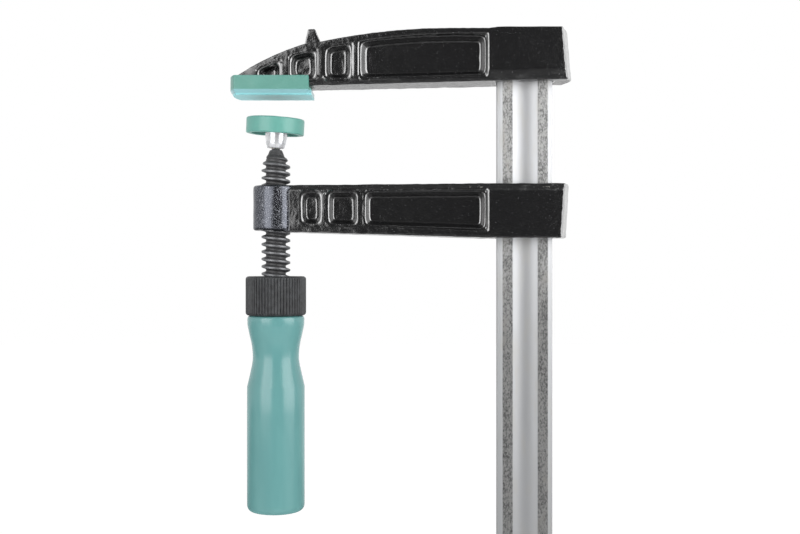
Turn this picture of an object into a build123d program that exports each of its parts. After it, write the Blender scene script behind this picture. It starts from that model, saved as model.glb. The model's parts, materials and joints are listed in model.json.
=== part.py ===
from build123d import *
import os
from math import atan2, cos, degrees, radians, sin, sqrt, tan

# A screw clamp: a cast jaw fixed on a steel rail, a cast arm that slides on it,
# and a threaded spindle in the arm with a swivelling pressure plate.
# Origin: the middle of the fixed jaw's clamping face, on the spindle's axis.
# +Z runs up the rail towards the fixed jaw, and +X from the spindle to the rail.

os.makedirs("parts", exist_ok=True)

# Driving dimensions in millimetres
throat_depth = 120.0
largest_opening = 300.0
rest_opening = 11.5
spindle_retreat = 22.0
ball_to_arm = 24.0
cut_margin = 1.0

# Guide rail
rail_width = 29.6
rail_thickness = 11.0
rail_shoulder_width = 2.7
rail_shoulder_depth = 1.5
rail_shoulder_radius = 4.5
rail_groove_width = 13.5
rail_groove_depth = 1.9
rail_end_margin = 12.0

# Castings
casting_half = 12.6
web_half = 6.4
pocket_flank = 34.0
pocket_end_gap = 5.0
block_front_wall = 4.8
rear_crown = 4.2
block_step = 0.6
slot_gap = 0.3
slot_corner = 1.2

# Fixed jaw
cap_floor = 5.6
jaw_height = 30.5
jaw_nose_reach = 19.6
jaw_nose_half = 10.4
jaw_nose_height = 4.8
jaw_nose_radius = 133.0
jaw_spur_foot_height = 21.6
jaw_back_height = 22.9
jaw_flat_place = 21.0
jaw_flat_length = 8.6
jaw_crest_gap = 20.0
jaw_step_run = 4.0
jaw_rear_wall = 10.4
jaw_rear_lean = 2.6
jaw_belly_place = 38.0
jaw_belly_slope = 1.4
jaw_bevel_height = 5.3
jaw_bevel_depth = 1.5
jaw_rib_pitch = 18.8
jaw_rib_base = 12.8
jaw_rib_flank = 45.0
jaw_rib_middle = 24.9
jaw_rib_count = 3
jaw_pocket_nose = -6.0
jaw_pocket_floor_edge = 4.9
jaw_pocket_top_edge = 6.8
jaw_pocket_rise = 2.8
jaw_pocket_steps = 8
spur_place = 20.8
spur_base = 10.4
spur_tip = 3.9
spur_height = 8.1
spur_half = 5.0
spur_sink = 2.0
spur_lean = 1.2

# Fixed jaw's cap
cap_wall = 1.3
cap_height = 10.3
cap_nose_reach = 24.4
cap_nose_bulge = 3.2
cap_tail_reach = 18.8
cap_lip = 1.3
cap_lip_height = 3.2
cap_lip_run = 3.6
cap_bevel_height = 2.8
cap_bevel_depth = 1.8

# Sliding arm
arm_boss_height = 24.2
arm_boss_radius = 12.25
arm_boss_edge = 0.8
arm_tip_half = 9.75
arm_tip_height = 24.8
arm_block_height = 29.2
arm_top_rise = 0.9
arm_bevel_height = 4.0
arm_bevel_depth = 2.0
arm_rear_wall = 8.9
arm_rear_lean = 1.7
arm_rib_base = 9.6
arm_rib_flank = 34.0
arm_rib_places = (27.2, 46.7)
arm_pocket_nose = 17.6
arm_pocket_top_edge = 7.0
arm_pocket_floor_edge = 7.4

# Spindle thread
thread_pitch = 4.0
thread_crest_radius = 7.8
thread_root_radius = 5.4
thread_crest_width = 0.7
thread_shoulder_width = 1.3
thread_shoulder_drop = 0.35
thread_base_width = 3.1
thread_sink = 0.45
thread_gap = 0.18
thread_crest_height = -37.6
thread_is_left_hand = True

# Spindle's ends
ball_radius = 3.6
ball_neck_radius = 2.2
spindle_nose_radius = 3.6
spindle_nose_gap = 1.5
spindle_nose_chamfer = 0.5
spindle_cone_length = 3.7
thread_start_drop = 1.0
thread_full_drop = 16.6
thread_start_sink = 1.35
thread_end_drop = 2.6
boss_to_collar = 24.7
shank_length = 70.0
shank_chamfer = 1.0
wing_reach = 1.2
wing_thickness = 1.8
wing_length = 24.0
wing_rise = 6.0

# Ball joint and pressure plate
ball_gap = 0.12
liner_wall = 0.7
liner_slit = 0.8
liner_slit_drop = 0.4
socket_wall = 1.56
socket_rim_wall = 1.65
socket_mouth_gap = 0.95
socket_lip = 0.23
socket_rim_chamfer = 0.6
socket_flare = 0.6
socket_flare_height = 3.6
ball_to_pad = 4.6
plate_radius = 13.6
plate_thickness = 2.6
pad_radius = 15.65
pad_height = 8.0
pad_floor = 2.8
pad_edge = 0.9
pad_lip_radius = 12.9
pad_lean = 3.2
pad_nod = 2.0

# Handle and collar
collar_radius = 16.35
collar_length = 21.2
collar_edge = 1.3
collar_rib_count = 60
collar_groove_width = 1.1
collar_groove_rise = 0.14
collar_mouth_gap = 0.35
collar_roof = 4.2
spigot_radius = 11.4
spigot_gap = 0.1
handle_length = 106.0
handle_radius = 15.6
handle_shoulder_radius = 15.3
handle_shoulder_drop = 4.2
handle_shoulder_rounding = 1.8
handle_shoulder_slope = 0.12
handle_neck_radius = 14.2
handle_neck_drop = 10.6
handle_waist_radius = 12.65
handle_waist_drop = 21.5
handle_swell_radius = 13.9
handle_swell_drop = 31.0
handle_crease_slope = 0.2
handle_full_drop = 38.5
handle_end_rounding = 3.6

# Stop pin
pin_radius = 2.5
pin_wall = 0.6
pin_slit = 1.0
pin_proud = 3.5
pin_clearance = 0.5

# Places worked out from the sizes above
rail_x = throat_depth + rail_width / 2
block_start = rail_x - rail_width / 2 - block_front_wall
jaw_end = rail_x + rail_width / 2 + jaw_rear_wall
arm_end = rail_x + rail_width / 2 + arm_rear_wall
jaw_top = cap_floor + jaw_height
jaw_crest = (block_start - jaw_crest_gap, jaw_top - block_step)
jaw_nose = (-jaw_nose_reach, cap_floor + jaw_nose_height)
spur_front = (jaw_flat_place - jaw_flat_length / 2, cap_floor + jaw_spur_foot_height)
spur_back = (jaw_flat_place + jaw_flat_length / 2, cap_floor + jaw_back_height)

pad_top = -rest_opening
pad_bottom = pad_top - pad_height
ball_z = pad_bottom - ball_to_pad
arm_top = ball_z - ball_to_arm
boss_bottom = arm_top - arm_boss_height
collar_top = boss_bottom - boss_to_collar
handle_top = collar_top - collar_length
shank_bottom = collar_top - shank_length

arm_bottom = arm_top + arm_top_rise - arm_block_height
arm_travel = largest_opening - rest_opening - spindle_retreat
pin_z = arm_bottom - arm_travel - pin_clearance - pin_radius
rail_bottom = pin_z - rail_end_margin

liner_inner = ball_radius + ball_gap
liner_outer = liner_inner + liner_wall
socket_inner = liner_outer + ball_gap
socket_mouth_radius = ball_neck_radius + socket_mouth_gap
socket_mouth = -sqrt(socket_inner**2 - socket_mouth_radius**2)
socket_foot = socket_mouth - socket_lip
spindle_cone_top = ball_z + socket_foot - spindle_nose_gap


def arc_height(x, start, end, radius):
    """Height at x of the arc of this radius that bulges up between two points."""
    run, rise = end[0] - start[0], end[1] - start[1]
    chord = sqrt(run**2 + rise**2)
    drop = sqrt(radius**2 - chord**2 / 4)
    centre_x = (start[0] + end[0]) / 2 + drop * rise / chord
    centre_z = (start[1] + end[1]) / 2 - drop * run / chord
    return centre_z + sqrt(radius**2 - (x - centre_x) ** 2)


def jaw_roof(x):
    """Height of the fixed jaw's back: an arc over the nose, one behind the spur, then level."""
    if x < jaw_flat_place:
        return arc_height(x, jaw_nose, spur_front, jaw_nose_radius)
    if x > jaw_crest[0]:
        return jaw_crest[1]
    run, rise = jaw_crest[0] - spur_back[0], jaw_crest[1] - spur_back[1]
    return arc_height(x, spur_back, jaw_crest, (run**2 + rise**2) / (2 * rise))


def roof_point(start, end):
    """The point of the fixed jaw's back halfway along between two others."""
    middle = (start[0] + end[0]) / 2
    return (middle, jaw_roof(middle))


def finish(piece, name):
    """Label a finished piece and write it as one STEP file."""
    piece.part.label = name
    export_step(piece.part, f"parts/{name}.step")


# Guide rail: a rolled bar, the same section all the way down
half_width = rail_width / 2
half_thick = rail_thickness / 2
land_edge = half_width - rail_shoulder_width
groove_edge = rail_groove_width / 2

with BuildSketch(Plane.XY) as rail_section:
    with BuildLine():
        Line((-groove_edge, half_thick), (-land_edge, half_thick))
        RadiusArc(
            (-land_edge, half_thick),
            (-half_width, half_thick - rail_shoulder_depth),
            -rail_shoulder_radius,
        )
        Line(
            (-half_width, half_thick - rail_shoulder_depth),
            (-half_width, rail_shoulder_depth - half_thick),
        )
        RadiusArc(
            (-half_width, rail_shoulder_depth - half_thick),
            (-land_edge, -half_thick),
            -rail_shoulder_radius,
        )
        Line((-land_edge, -half_thick), (-groove_edge, -half_thick))
        ThreePointArc(
            (-groove_edge, -half_thick),
            (0, rail_groove_depth - half_thick),
            (groove_edge, -half_thick),
        )
        Line((groove_edge, -half_thick), (land_edge, -half_thick))
        RadiusArc(
            (land_edge, -half_thick),
            (half_width, rail_shoulder_depth - half_thick),
            -rail_shoulder_radius,
        )
        Line(
            (half_width, rail_shoulder_depth - half_thick),
            (half_width, half_thick - rail_shoulder_depth),
        )
        RadiusArc(
            (half_width, half_thick - rail_shoulder_depth),
            (land_edge, half_thick),
            -rail_shoulder_radius,
        )
        Line((land_edge, half_thick), (groove_edge, half_thick))
        ThreePointArc(
            (groove_edge, half_thick),
            (0, half_thick - rail_groove_depth),
            (-groove_edge, half_thick),
        )
    make_face()

with BuildPart() as guide_rail:
    with BuildSketch(Plane.XY.offset(rail_bottom)):
        with Locations((rail_x, 0)):
            add(rail_section.sketch)
    extrude(amount=jaw_top - rail_bottom)
    with Locations(Location((rail_x, 0, pin_z), (90, 0, 0))):
        Hole(radius=pin_radius)
finish(guide_rail, "guide_rail")

# Stop pin: a rolled steel pin with a slit, pressed through the rail's lower end
pin_length = rail_thickness + 2 * pin_proud

with BuildPart() as rail_stop_pin:
    with BuildSketch(Plane.XZ.offset(-pin_length / 2)):
        with Locations((rail_x, pin_z)):
            Circle(pin_radius)
            Circle(pin_radius - pin_wall, mode=Mode.SUBTRACT)
        with Locations((rail_x, pin_z - pin_radius)):
            Rectangle(pin_slit, 2 * pin_radius, mode=Mode.SUBTRACT)
    extrude(amount=pin_length)
finish(rail_stop_pin, "rail_stop_pin")

# Both castings: a plan outline, widest at the rail
def casting_plan(tip_x, tip_half, end_x):
    """Plan outline of a casting from its tip to beyond its rear end."""
    with BuildSketch() as plan:
        with BuildLine():
            Polyline(
                (tip_x, -tip_half),
                (block_start, -casting_half),
                (end_x + cut_margin, -casting_half),
                (end_x + cut_margin, casting_half),
                (block_start, casting_half),
                (tip_x, tip_half),
                close=True,
            )
        make_face()
    return plan.sketch


def crowned_end(low_end, low, high_end, high):
    """A long block that ends in a low ridge, which leans from one point to another."""
    run, rise = high_end - low_end, high - low
    slant = sqrt(run**2 + rise**2)
    leaning = Plane(
        origin=(low_end, 0, low),
        x_dir=(rise / slant, 0, -run / slant),
        z_dir=(run / slant, 0, rise / slant),
    )
    reach = casting_half + cut_margin
    crown = rear_crown * reach / casting_half
    with BuildPart() as block:
        with BuildSketch(leaning):
            with BuildLine():
                Polyline(
                    (-2 * throat_depth, -reach),
                    (-crown, -reach),
                    (0, 0),
                    (-crown, reach),
                    (-2 * throat_depth, reach),
                    close=True,
                )
            make_face()
        extrude(amount=2 * throat_depth, both=True)
    return block.part


# The fixed jaw's underside and its bevels rise a little towards the rear
belly_angle = radians(jaw_belly_slope)
belly_low = cap_floor + jaw_bevel_height - jaw_belly_place * tan(belly_angle)
jaw_belly = Plane(
    origin=(0, 0, belly_low),
    x_dir=(cos(belly_angle), 0, sin(belly_angle)),
    z_dir=(-sin(belly_angle), 0, cos(belly_angle)),
)

with BuildPart() as jaw_blank:
    with BuildSketch(jaw_belly) as jaw_plan:
        add(casting_plan(-jaw_nose_reach - cut_margin, jaw_nose_half, jaw_end))
    extrude(amount=jaw_height)
    extrude(
        jaw_plan.sketch,
        amount=-jaw_bevel_height,
        taper=degrees(atan2(jaw_bevel_depth, jaw_bevel_height)),
    )
    with BuildSketch(Plane.XZ) as jaw_side:
        with BuildLine():
            ThreePointArc(jaw_nose, roof_point(jaw_nose, spur_front), spur_front)
            Line(spur_front, spur_back)
            ThreePointArc(spur_back, roof_point(spur_back, jaw_crest), jaw_crest)
            Polyline(
                jaw_crest,
                (block_start, jaw_crest[1]),
                (block_start + jaw_step_run, jaw_top),
                (jaw_end + cut_margin, jaw_top),
                (jaw_end + cut_margin, 0),
                (-jaw_nose_reach, 0),
                jaw_nose,
            )
        make_face()
    extrude(amount=casting_half + cut_margin, both=True, mode=Mode.INTERSECT)
    add(crowned_end(jaw_end, cap_floor, jaw_end - jaw_rear_lean, jaw_top), mode=Mode.INTERSECT)


def web_pocket(outline):
    """A pocket with sloping flanks on both faces of a casting's web."""
    with BuildPart() as pocket:
        with BuildSketch(Plane.XZ.offset(web_half)):
            with BuildLine():
                Polyline(*outline, close=True)
            make_face()
        extrude(amount=casting_half - web_half + cut_margin, taper=-pocket_flank)
        mirror(about=Plane.XZ)
    return pocket.part


def web_rib(blank, place, base, flank, low, high):
    """A rib across the web on both faces of a casting, up to the faces of its blank."""
    peak = web_half + base / 2 / tan(radians(flank))
    with BuildPart() as rib:
        with BuildSketch(Plane.XY.offset(low)):
            with BuildLine():
                Polyline(
                    (place - base / 2, -web_half),
                    (place, -peak),
                    (place + base / 2, -web_half),
                    (place + base / 2, web_half),
                    (place, peak),
                    (place - base / 2, web_half),
                    close=True,
                )
            make_face()
        extrude(amount=high - low)
        add(blank, mode=Mode.INTERSECT)
    return rib.part


jaw_pocket_end = block_start - pocket_end_gap
jaw_pocket_low = cap_floor + jaw_pocket_floor_edge
jaw_pocket = [(jaw_pocket_nose, jaw_pocket_low), (jaw_pocket_end, jaw_pocket_low + jaw_pocket_rise)]
for step in range(jaw_pocket_steps + 1):
    x = jaw_pocket_end + (jaw_pocket_nose - jaw_pocket_end) * step / jaw_pocket_steps
    jaw_pocket.append((x, jaw_roof(x) - jaw_pocket_top_edge))

with BuildPart() as fixed_jaw:
    add(jaw_blank.part)
    add(web_pocket(jaw_pocket), mode=Mode.SUBTRACT)
    for number in range(jaw_rib_count):
        place = jaw_rib_middle + (number - 1) * jaw_rib_pitch
        add(web_rib(jaw_blank.part, place, jaw_rib_base, jaw_rib_flank, cap_floor, jaw_top))
    with BuildSketch(Plane.XZ):
        spur_foot = jaw_roof(spur_place) - spur_sink
        spur_peak = jaw_roof(spur_place) + spur_height
        with BuildLine():
            Polyline(
                (spur_place - spur_base / 2, spur_foot),
                (spur_place + spur_base / 2, spur_foot),
                (spur_place + spur_tip / 2 - spur_lean, spur_peak),
                (spur_place - spur_tip / 2 - spur_lean, spur_peak),
                close=True,
            )
        make_face()
    extrude(amount=spur_half, both=True)
    with BuildSketch(Plane.XY.offset(cap_floor - cut_margin)):
        with Locations((rail_x, 0)):
            add(rail_section.sketch)
    extrude(amount=jaw_height + 2 * cut_margin, mode=Mode.SUBTRACT)
finish(fixed_jaw, "fixed_jaw")

# Fixed jaw's cap: a plastic shoe with a flat sole, open at the back
jaw_flare = (casting_half - jaw_nose_half) / (block_start + jaw_nose_reach)
cap_half = jaw_nose_half + jaw_flare * (cap_tail_reach + jaw_nose_reach) + cap_wall
cap_nose_middle = cap_nose_bulge - cap_nose_reach

with BuildPart() as fixed_jaw_cap:
    with BuildSketch(Plane.XY.offset(cap_bevel_height)) as cap_plan:
        with BuildLine():
            nose = ThreePointArc(
                (cap_nose_middle, -cap_half),
                (-cap_nose_reach, 0),
                (cap_nose_middle, cap_half),
            )
            Line(nose @ 1, (cap_tail_reach, cap_half))
            Line((cap_tail_reach, cap_half), (cap_tail_reach, -cap_half))
            Line((cap_tail_reach, -cap_half), nose @ 0)
        make_face()
    extrude(amount=cap_height - cap_bevel_height)
    extrude(
        cap_plan.sketch,
        amount=-cap_bevel_height,
        taper=degrees(atan2(cap_bevel_depth, cap_bevel_height)),
    )
    with BuildSketch(Plane.XZ):
        with BuildLine():
            Polyline(
                (cap_tail_reach - cap_lip_run, 0),
                (cap_tail_reach + cap_lip, 0),
                (cap_tail_reach + cap_lip, cap_lip_height),
                (cap_tail_reach - cap_lip_run, cap_floor + cap_lip),
                close=True,
            )
        make_face()
    extrude(amount=cap_half - cap_bevel_depth, both=True)
    add(jaw_blank.part, mode=Mode.SUBTRACT)
finish(fixed_jaw_cap, "fixed_jaw_cap")


def threaded_rod(grow, low, high):
    """A rod with one helical ridge between two heights; grow fattens it to cut a nut."""
    turns_down = int((thread_crest_height - low) / thread_pitch) + 1
    start = thread_crest_height - turns_down * thread_pitch
    half_base = thread_base_width / 2 + grow
    half_shoulder = thread_shoulder_width / 2 + grow
    half_crest = thread_crest_width / 2 + grow
    crest = thread_crest_radius + grow
    shoulder = crest - thread_shoulder_drop
    root = thread_root_radius - thread_sink
    with BuildPart() as rod:
        with BuildSketch(Plane.XY.offset(start - thread_pitch)):
            Circle(thread_root_radius + grow)
        extrude(amount=high - start + 2 * thread_pitch)
        with BuildLine() as path:
            Helix(
                thread_pitch,
                high - start,
                thread_root_radius,
                center=(0, 0, start),
                lefthand=thread_is_left_hand,
            )
        with BuildSketch(Plane.XZ):
            with BuildLine():
                Polyline(
                    (root, start - half_base),
                    (shoulder, start - half_shoulder),
                    (crest, start - half_crest),
                    (crest, start + half_crest),
                    (shoulder, start + half_shoulder),
                    (root, start + half_base),
                    close=True,
                )
            make_face()
        sweep(path=path.line, is_frenet=True)
    return rod.part


# Sliding arm: the same kind of casting, with the boss for the spindle
arm_block_top = arm_top + arm_top_rise
arm_tip_bottom = arm_top - arm_tip_height


arm_pocket = []
for x in (arm_pocket_nose, block_start - pocket_end_gap):
    under = arm_tip_bottom + (arm_bottom - arm_tip_bottom) * x / block_start
    arm_pocket.append((x, under + arm_pocket_floor_edge))
for x in (block_start - pocket_end_gap, arm_pocket_nose):
    over = arm_top + (arm_block_top - arm_top) * x / block_start
    arm_pocket.append((x, over - arm_pocket_top_edge))
nut_cutter = threaded_rod(thread_gap, boss_bottom - thread_pitch, arm_top + thread_pitch)

with BuildPart() as arm_blank:
    with BuildSketch(Plane.XY.offset(arm_block_top - arm_bevel_height)) as arm_plan:
        add(casting_plan(0, arm_tip_half, arm_end))
    extrude(amount=-arm_block_height)
    extrude(
        arm_plan.sketch,
        amount=arm_bevel_height,
        taper=degrees(atan2(arm_bevel_depth, arm_bevel_height)),
    )
    with BuildSketch(Plane.XZ):
        with BuildLine():
            Polyline(
                (0, arm_top),
                (block_start, arm_block_top),
                (arm_end + cut_margin, arm_block_top),
                (arm_end + cut_margin, arm_bottom),
                (block_start, arm_bottom),
                (0, arm_tip_bottom),
                close=True,
            )
        make_face()
    extrude(amount=casting_half + cut_margin, both=True, mode=Mode.INTERSECT)
    add(crowned_end(arm_end - arm_rear_lean, arm_bottom, arm_end, arm_block_top), mode=Mode.INTERSECT)

with BuildPart() as sliding_arm:
    add(arm_blank.part)
    add(web_pocket(arm_pocket), mode=Mode.SUBTRACT)
    for place in arm_rib_places:
        add(web_rib(arm_blank.part, place, arm_rib_base, arm_rib_flank, arm_bottom, arm_block_top))
    with BuildSketch(Plane.XZ) as boss_profile:
        with BuildLine():
            Polyline(
                (0, boss_bottom),
                (arm_boss_radius, boss_bottom),
                (arm_boss_radius, arm_top),
                (0, arm_top),
                close=True,
            )
        make_face()
        chamfer(boss_profile.vertices().sort_by(Axis.X)[-2:], arm_boss_edge)
    revolve(axis=Axis.Z)
    with BuildSketch(Plane.XY.offset(arm_bottom - cut_margin)):
        with Locations((rail_x, 0)):
            RectangleRounded(
                rail_width + 2 * slot_gap, rail_thickness + 2 * slot_gap, slot_corner
            )
    extrude(amount=arm_block_height + 2 * cut_margin, mode=Mode.SUBTRACT)
    add(nut_cutter, mode=Mode.SUBTRACT)
finish(sliding_arm, "sliding_arm")

# Spindle: ball, neck, cone, threaded shank, and the winged end in the handle
thread_end = collar_top - thread_end_drop
thread_start = spindle_cone_top - thread_start_drop
thread_full = ball_z - thread_full_drop

with BuildPart() as thread_envelope:
    with BuildSketch(Plane.XZ):
        with BuildLine():
            Polyline(
                (0, thread_end),
                (thread_crest_radius + cut_margin, thread_end),
                (thread_crest_radius + cut_margin, thread_full),
                (thread_root_radius - thread_start_sink, thread_start),
                (0, thread_start),
                close=True,
            )
        make_face()
    revolve(axis=Axis.Z)

with BuildPart() as spindle:
    with BuildSketch(Plane.XZ):
        with BuildLine():
            neck_top = ball_z - sqrt(ball_radius**2 - ball_neck_radius**2)
            ball = ThreePointArc(
                (0, ball_z + ball_radius),
                (ball_radius, ball_z),
                (ball_neck_radius, neck_top),
            )
            Polyline(
                ball @ 1,
                (ball_neck_radius, spindle_cone_top + spindle_nose_chamfer),
                (spindle_nose_radius - spindle_nose_chamfer, spindle_cone_top + spindle_nose_chamfer),
                (spindle_nose_radius, spindle_cone_top),
                (thread_root_radius, spindle_cone_top - spindle_cone_length),
                (thread_root_radius, shank_bottom + shank_chamfer),
                (thread_root_radius - shank_chamfer, shank_bottom),
                (0, shank_bottom),
                (0, ball_z + ball_radius),
            )
        make_face()
    revolve(axis=Axis.Z)
    add(threaded_rod(0.0, thread_end, ball_z) & thread_envelope.part)
    with BuildSketch(Plane.XY.offset(shank_bottom + wing_rise)):
        wing_span = 2 * (thread_root_radius + wing_reach)
        Rectangle(wing_span, wing_thickness)
        Rectangle(wing_thickness, wing_span)
    extrude(amount=wing_length)
finish(spindle, "spindle")

# Ball joint: a split bearing shell, then the plate's socket, all about one centre
side_lean, front_lean = radians(pad_lean), radians(pad_nod)
lean_plane = Plane(
    origin=(0, 0, ball_z),
    x_dir=(cos(side_lean), sin(side_lean) * sin(front_lean), -sin(side_lean) * cos(front_lean)),
    z_dir=(0, -cos(front_lean), -sin(front_lean)),
)
lean_axis = Axis(lean_plane.origin, lean_plane.y_dir)
pad_roof = ball_to_pad + pad_height
plate_top = pad_roof - pad_floor
plate_under = plate_top - plate_thickness
socket_rim_radius = socket_mouth_radius + socket_rim_wall
socket_top_radius = socket_inner + socket_wall
crown = sqrt(liner_outer**2 - (ball_neck_radius + ball_gap) ** 2)
inner_crown = sqrt(liner_inner**2 - (ball_neck_radius + ball_gap) ** 2)

with BuildPart() as ball_liner:
    with BuildSketch(Plane.XZ.shift_origin((0, 0, ball_z))):
        with BuildLine():
            outside = ThreePointArc(
                (0, liner_outer),
                (liner_outer, 0),
                (ball_neck_radius + ball_gap, -crown),
            )
            Line(outside @ 1, (ball_neck_radius + ball_gap, -inner_crown))
            inside = ThreePointArc(
                (ball_neck_radius + ball_gap, -inner_crown),
                (liner_inner, 0),
                (0, liner_inner),
            )
            Line(inside @ 1, outside @ 0)
        make_face()
    revolve(axis=Axis.Z)
    with BuildSketch(Plane.XZ.shift_origin((0, 0, ball_z))):
        with Locations((0, -liner_outer / 2 - liner_slit_drop)):
            Rectangle(liner_slit, liner_outer)
    extrude(amount=liner_outer + cut_margin, mode=Mode.SUBTRACT)
finish(ball_liner, "ball_liner")

with BuildPart() as pressure_plate:
    with BuildSketch(lean_plane):
        with BuildLine():
            cavity = ThreePointArc(
                (0, socket_inner), (socket_inner, 0), (socket_mouth_radius, socket_mouth)
            )
            Polyline(
                cavity @ 1,
                (socket_mouth_radius, socket_foot),
                (socket_rim_radius - socket_rim_chamfer, socket_foot),
                (socket_rim_radius, socket_foot + socket_rim_chamfer),
                (socket_top_radius, plate_under - socket_flare_height),
                (socket_top_radius + socket_flare, plate_under),
                (plate_radius, plate_under),
                (plate_radius, plate_top),
                (0, plate_top),
                (0, socket_inner),
            )
        make_face()
    revolve(axis=lean_axis)
finish(pressure_plate, "pressure_plate")

with BuildPart() as pressure_plate_cap:
    with BuildSketch(lean_plane) as pad_profile:
        with BuildLine():
            Polyline(
                (0, pad_roof),
                (pad_radius, pad_roof),
                (pad_radius, ball_to_pad),
                (pad_lip_radius, ball_to_pad),
                (pad_lip_radius, plate_under),
                (plate_radius, plate_under),
                (plate_radius, plate_top),
                (0, plate_top),
                close=True,
            )
        make_face()
        fillet(pad_profile.vertices().sort_by(Axis.X)[-2:], pad_edge)
    revolve(axis=lean_axis)
finish(pressure_plate_cap, "pressure_plate_cap")

# Handle: a turned grip with a spigot that carries the collar
spigot_top = collar_top - collar_roof
handle_foot = handle_top - handle_length
shoulder_start = handle_shoulder_radius - handle_shoulder_rounding
shoulder_bulge = 0.75 * handle_shoulder_rounding

with BuildPart() as spindle_handle:
    with BuildSketch(Plane.XZ):
        with BuildLine():
            grip = Spline(
                (handle_shoulder_radius, handle_top - handle_shoulder_drop),
                (handle_neck_radius, handle_top - handle_neck_drop),
                (handle_waist_radius, handle_top - handle_waist_drop),
                (handle_swell_radius, handle_top - handle_swell_drop),
                (handle_radius, handle_top - handle_full_drop),
                tangents=((handle_shoulder_slope, -1), (handle_crease_slope, -1)),
            )
            Line(grip @ 1, (handle_radius, handle_foot + handle_end_rounding))
            end = RadiusArc(
                (handle_radius, handle_foot + handle_end_rounding),
                (handle_radius - handle_end_rounding, handle_foot),
                handle_end_rounding,
            )
            Line(end @ 1, (0, handle_foot))
            Line((0, handle_foot), (0, spigot_top))
            Line((0, spigot_top), (spigot_radius, spigot_top))
            Line((spigot_radius, spigot_top), (spigot_radius, handle_top))
            Line((spigot_radius, handle_top), (shoulder_start, handle_top))
            ThreePointArc(
                (shoulder_start, handle_top),
                (shoulder_start + shoulder_bulge, handle_top - shoulder_bulge),
                grip @ 0,
            )
        make_face()
    revolve(axis=Axis.Z)
    add(spindle.part, mode=Mode.SUBTRACT)
finish(spindle_handle, "spindle_handle")

# Collar: a moulded ring with fine upright ribs, pressed over the spigot
with BuildPart() as handle_collar:
    with BuildSketch(Plane.XY.offset(handle_top)):
        Circle(collar_radius)
        with PolarLocations(collar_radius + collar_groove_rise, collar_rib_count):
            Rectangle(
                collar_groove_width, collar_groove_width, rotation=45, mode=Mode.SUBTRACT
            )
    extrude(amount=collar_length)
    with BuildSketch(Plane.XZ) as collar_profile:
        with BuildLine():
            Polyline(
                (0, handle_top),
                (collar_radius, handle_top),
                (collar_radius, collar_top),
                (0, collar_top),
                close=True,
            )
        make_face()
        chamfer(collar_profile.vertices().sort_by(Axis.X)[-2:], collar_edge)
    revolve(axis=Axis.Z, mode=Mode.INTERSECT)
    with BuildSketch(Plane.XY.offset(handle_top)):
        Circle(spigot_radius + spigot_gap)
    extrude(amount=collar_length - collar_roof, mode=Mode.SUBTRACT)
    with BuildSketch(Plane.XY.offset(handle_top)):
        Circle(thread_crest_radius + collar_mouth_gap)
    extrude(amount=collar_length + cut_margin, mode=Mode.SUBTRACT)
finish(handle_collar, "handle_collar")

print("rail from", round(rail_bottom, 1), "to", round(jaw_top, 1), "at x", round(rail_x, 2))
print("arm travel", round(arm_travel, 1), "ball centre", round(ball_z, 2))
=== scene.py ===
# %% [markdown]
# # A bar clamp, made to be looked at
# A bar clamp is a steel rail with two cast jaws. One jaw is fixed on the rail's end.
# The other slides, and carries a threaded spindle with a pressure pad and a handle.
# The construction comes in ready made, at its real size, as one object for each
# piece. This lesson gives each piece its surface: soft cast edges under black
# enamel, rolled steel, bright zinc and green plastic.

# %% Load the clamp
import json
from math import ceil, cos, pi, radians, sin, sqrt

import bmesh
import bpy
from mathutils import Matrix, Vector, noise
from mathutils.bvhtree import BVHTree


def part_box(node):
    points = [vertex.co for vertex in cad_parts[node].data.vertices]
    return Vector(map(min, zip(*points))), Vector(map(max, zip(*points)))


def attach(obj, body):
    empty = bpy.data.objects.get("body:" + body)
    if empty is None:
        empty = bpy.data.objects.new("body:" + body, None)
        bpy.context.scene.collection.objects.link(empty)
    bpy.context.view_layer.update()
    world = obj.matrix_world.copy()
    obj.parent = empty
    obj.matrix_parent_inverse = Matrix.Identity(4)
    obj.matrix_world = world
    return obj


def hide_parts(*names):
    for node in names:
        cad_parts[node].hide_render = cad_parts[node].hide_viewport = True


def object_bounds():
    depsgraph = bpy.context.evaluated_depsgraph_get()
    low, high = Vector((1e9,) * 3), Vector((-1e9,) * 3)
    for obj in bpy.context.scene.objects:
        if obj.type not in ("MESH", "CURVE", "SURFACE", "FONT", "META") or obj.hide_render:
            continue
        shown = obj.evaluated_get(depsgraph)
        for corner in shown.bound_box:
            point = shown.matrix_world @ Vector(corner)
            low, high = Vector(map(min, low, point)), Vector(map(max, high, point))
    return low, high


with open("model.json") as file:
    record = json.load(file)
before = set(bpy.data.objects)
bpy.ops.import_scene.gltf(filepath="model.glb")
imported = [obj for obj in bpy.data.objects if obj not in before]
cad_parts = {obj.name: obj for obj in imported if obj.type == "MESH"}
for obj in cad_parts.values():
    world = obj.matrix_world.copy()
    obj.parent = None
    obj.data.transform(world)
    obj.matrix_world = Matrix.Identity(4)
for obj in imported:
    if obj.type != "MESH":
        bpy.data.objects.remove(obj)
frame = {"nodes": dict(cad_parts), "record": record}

MM = 0.001
cad_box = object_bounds()
print("the clamp spans", [round((high - low) / MM, 1) for low, high in zip(*cad_box)], "mm")


def corners(node):
    """A construction piece's lowest and highest corner, in millimetres."""
    return [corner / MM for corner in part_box(node)]


# %% [markdown]
# ## The camera
# The clamp hangs level in front of the lens. The underside of the upper jaw shows
# and the top of the handle doesn't, so the lens is level with the middle of the
# frame, 92 mm below the clamping face. The rail looks wider at its near face than
# at its edges by the amount that a lens 600 mm away gives.

# %% Camera
CAMERA_DISTANCE = 600 * MM
CAMERA_SIDE = 67.4 * MM
CAMERA_HEIGHT = -92 * MM
CAMERA_LENS = 49.7
SENSOR_WIDTH = 36

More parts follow.
